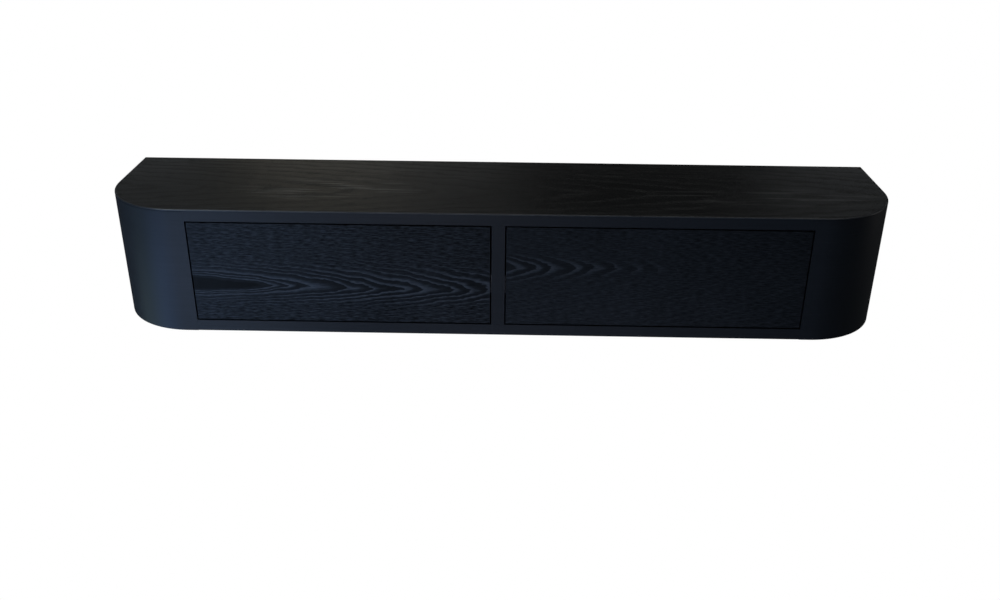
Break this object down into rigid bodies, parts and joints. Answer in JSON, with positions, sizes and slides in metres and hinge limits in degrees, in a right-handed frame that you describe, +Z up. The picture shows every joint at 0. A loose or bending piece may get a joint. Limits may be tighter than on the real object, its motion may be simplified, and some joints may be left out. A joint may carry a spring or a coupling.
{
  "type": "wall-hung drawer cabinet",
  "caption": "Long low wall cabinet with large rounded front corners and side-by-side handleless push-to-open drawers on ball-bearing runners.",
  "frame": {"origin": "middle of the underside: x and y at the middle of the cabinet's width and depth, z at its lowest face", "axes": "+X along the cabinet to the viewer's right, +Y from the drawer fronts towards the wall, +Z up"},
  "size_m": [1.8, 0.36, 0.3],
  "materials": {
    "black_oak": "black stain under satin lacquer",
    "birch_ply": "clear matt lacquer",
    "beech": "planed, unfinished",
    "zinc_steel": "bright zinc plating",
    "cage_steel": "bright, lightly greased",
    "grey_plastic": "moulded, matt",
    "black_rubber": "soft, matt"
  },
  "bodies": {
    "cabinet": {"top_skin": "black_oak", "top_board": "black_oak", "bottom_board": "black_oak", "left_end_shell": "black_oak", "right_end_shell": "black_oak", "top_lipping": "black_oak", "bottom_lipping": "black_oak", "centre_lipping": "black_oak", "centre_divider": "black_oak", "left_runner_panel": "black_oak", "right_runner_panel": "black_oak", "back_panel": "black_oak", "hanging_cleat": "beech", "wall_cleat": "beech", "lower_batten": "beech", "dowels": "beech", "back_screws": "zinc_steel", "rail_screws": "zinc_steel", "latch_screws": "zinc_steel", "left_bay_left_cabinet_rail": "zinc_steel", "left_bay_right_cabinet_rail": "zinc_steel", "left_latch_housings": "grey_plastic", "left_latch_springs": "zinc_steel", "right_bay_left_cabinet_rail": "zinc_steel", "right_bay_right_cabinet_rail": "zinc_steel", "right_latch_housings": "grey_plastic", "right_latch_springs": "zinc_steel"},
    "left_latch": {"left_latch_plungers": "grey_plastic", "left_latch_pads": "black_rubber"},
    "left_drawer": {"left_drawer_face": "black_oak", "left_drawer_front": "black_oak", "left_drawer_box_front": "birch_ply", "left_drawer_box_back": "birch_ply", "left_drawer_left_side": "birch_ply", "left_drawer_right_side": "birch_ply", "left_drawer_bottom": "birch_ply", "left_drawer_screws": "zinc_steel", "left_drawer_left_rail": "zinc_steel", "left_drawer_right_rail": "zinc_steel"},
    "left_middle_rails": {"left_bay_left_middle_rail": "zinc_steel", "left_bay_right_middle_rail": "zinc_steel"},
    "left_outer_cages": {"left_outer_ball_cages": "cage_steel"},
    "left_inner_cages": {"left_inner_ball_cages": "cage_steel"},
    "right_latch": {"right_latch_plungers": "grey_plastic", "right_latch_pads": "black_rubber"},
    "right_drawer": {"right_drawer_face": "black_oak", "right_drawer_front": "black_oak", "right_drawer_box_front": "birch_ply", "right_drawer_box_back": "birch_ply", "right_drawer_left_side": "birch_ply", "right_drawer_right_side": "birch_ply", "right_drawer_bottom": "birch_ply", "right_drawer_screws": "zinc_steel", "right_drawer_left_rail": "zinc_steel", "right_drawer_right_rail": "zinc_steel"},
    "right_middle_rails": {"right_bay_left_middle_rail": "zinc_steel", "right_bay_right_middle_rail": "zinc_steel"},
    "right_outer_cages": {"right_outer_ball_cages": "cage_steel"},
    "right_inner_cages": {"right_inner_ball_cages": "cage_steel"}
  },
  "joints": [
    {"name": "left_push_latch", "type": "slide", "parent": "cabinet", "child": "left_latch", "axis": [0, -1, 0], "range_m": [-0.003, 0.014], "deforming": ["left_latch_springs"]},
    {"name": "left_drawer_slide", "type": "slide", "parent": "left_latch", "child": "left_drawer", "axis": [0, -1, 0], "range_m": [0, 0.27]},
    {"name": "left_middle_rail_slide", "type": "slide", "parent": "cabinet", "child": "left_middle_rails", "axis": [0, -1, 0], "range_m": [0, 0.135]},
    {"name": "left_outer_cage_slide", "type": "slide", "parent": "cabinet", "child": "left_outer_cages", "axis": [0, -1, 0], "range_m": [0, 0.0675]},
    {"name": "left_inner_cage_slide", "type": "slide", "parent": "cabinet", "child": "left_inner_cages", "axis": [0, -1, 0], "range_m": [0, 0.2025]},
    {"name": "right_push_latch", "type": "slide", "parent": "cabinet", "child": "right_latch", "axis": [0, -1, 0], "range_m": [-0.003, 0.014], "deforming": ["right_latch_springs"]},
    {"name": "right_drawer_slide", "type": "slide", "parent": "right_latch", "child": "right_drawer", "axis": [0, -1, 0], "range_m": [0, 0.27]},
    {"name": "right_middle_rail_slide", "type": "slide", "parent": "cabinet", "child": "right_middle_rails", "axis": [0, -1, 0], "range_m": [0, 0.135]},
    {"name": "right_outer_cage_slide", "type": "slide", "parent": "cabinet", "child": "right_outer_cages", "axis": [0, -1, 0], "range_m": [0, 0.0675]},
    {"name": "right_inner_cage_slide", "type": "slide", "parent": "cabinet", "child": "right_inner_cages", "axis": [0, -1, 0], "range_m": [0, 0.2025]}
  ],
  "couplings": [
    {"joint": "left_middle_rail_slide", "follows": "left_drawer_slide", "ratio": 0.5},
    {"joint": "left_outer_cage_slide", "follows": "left_drawer_slide", "ratio": 0.25},
    {"joint": "left_inner_cage_slide", "follows": "left_drawer_slide", "ratio": 0.75},
    {"joint": "right_middle_rail_slide", "follows": "right_drawer_slide", "ratio": 0.5},
    {"joint": "right_outer_cage_slide", "follows": "right_drawer_slide", "ratio": 0.25},
    {"joint": "right_inner_cage_slide", "follows": "right_drawer_slide", "ratio": 0.75}
  ]
}
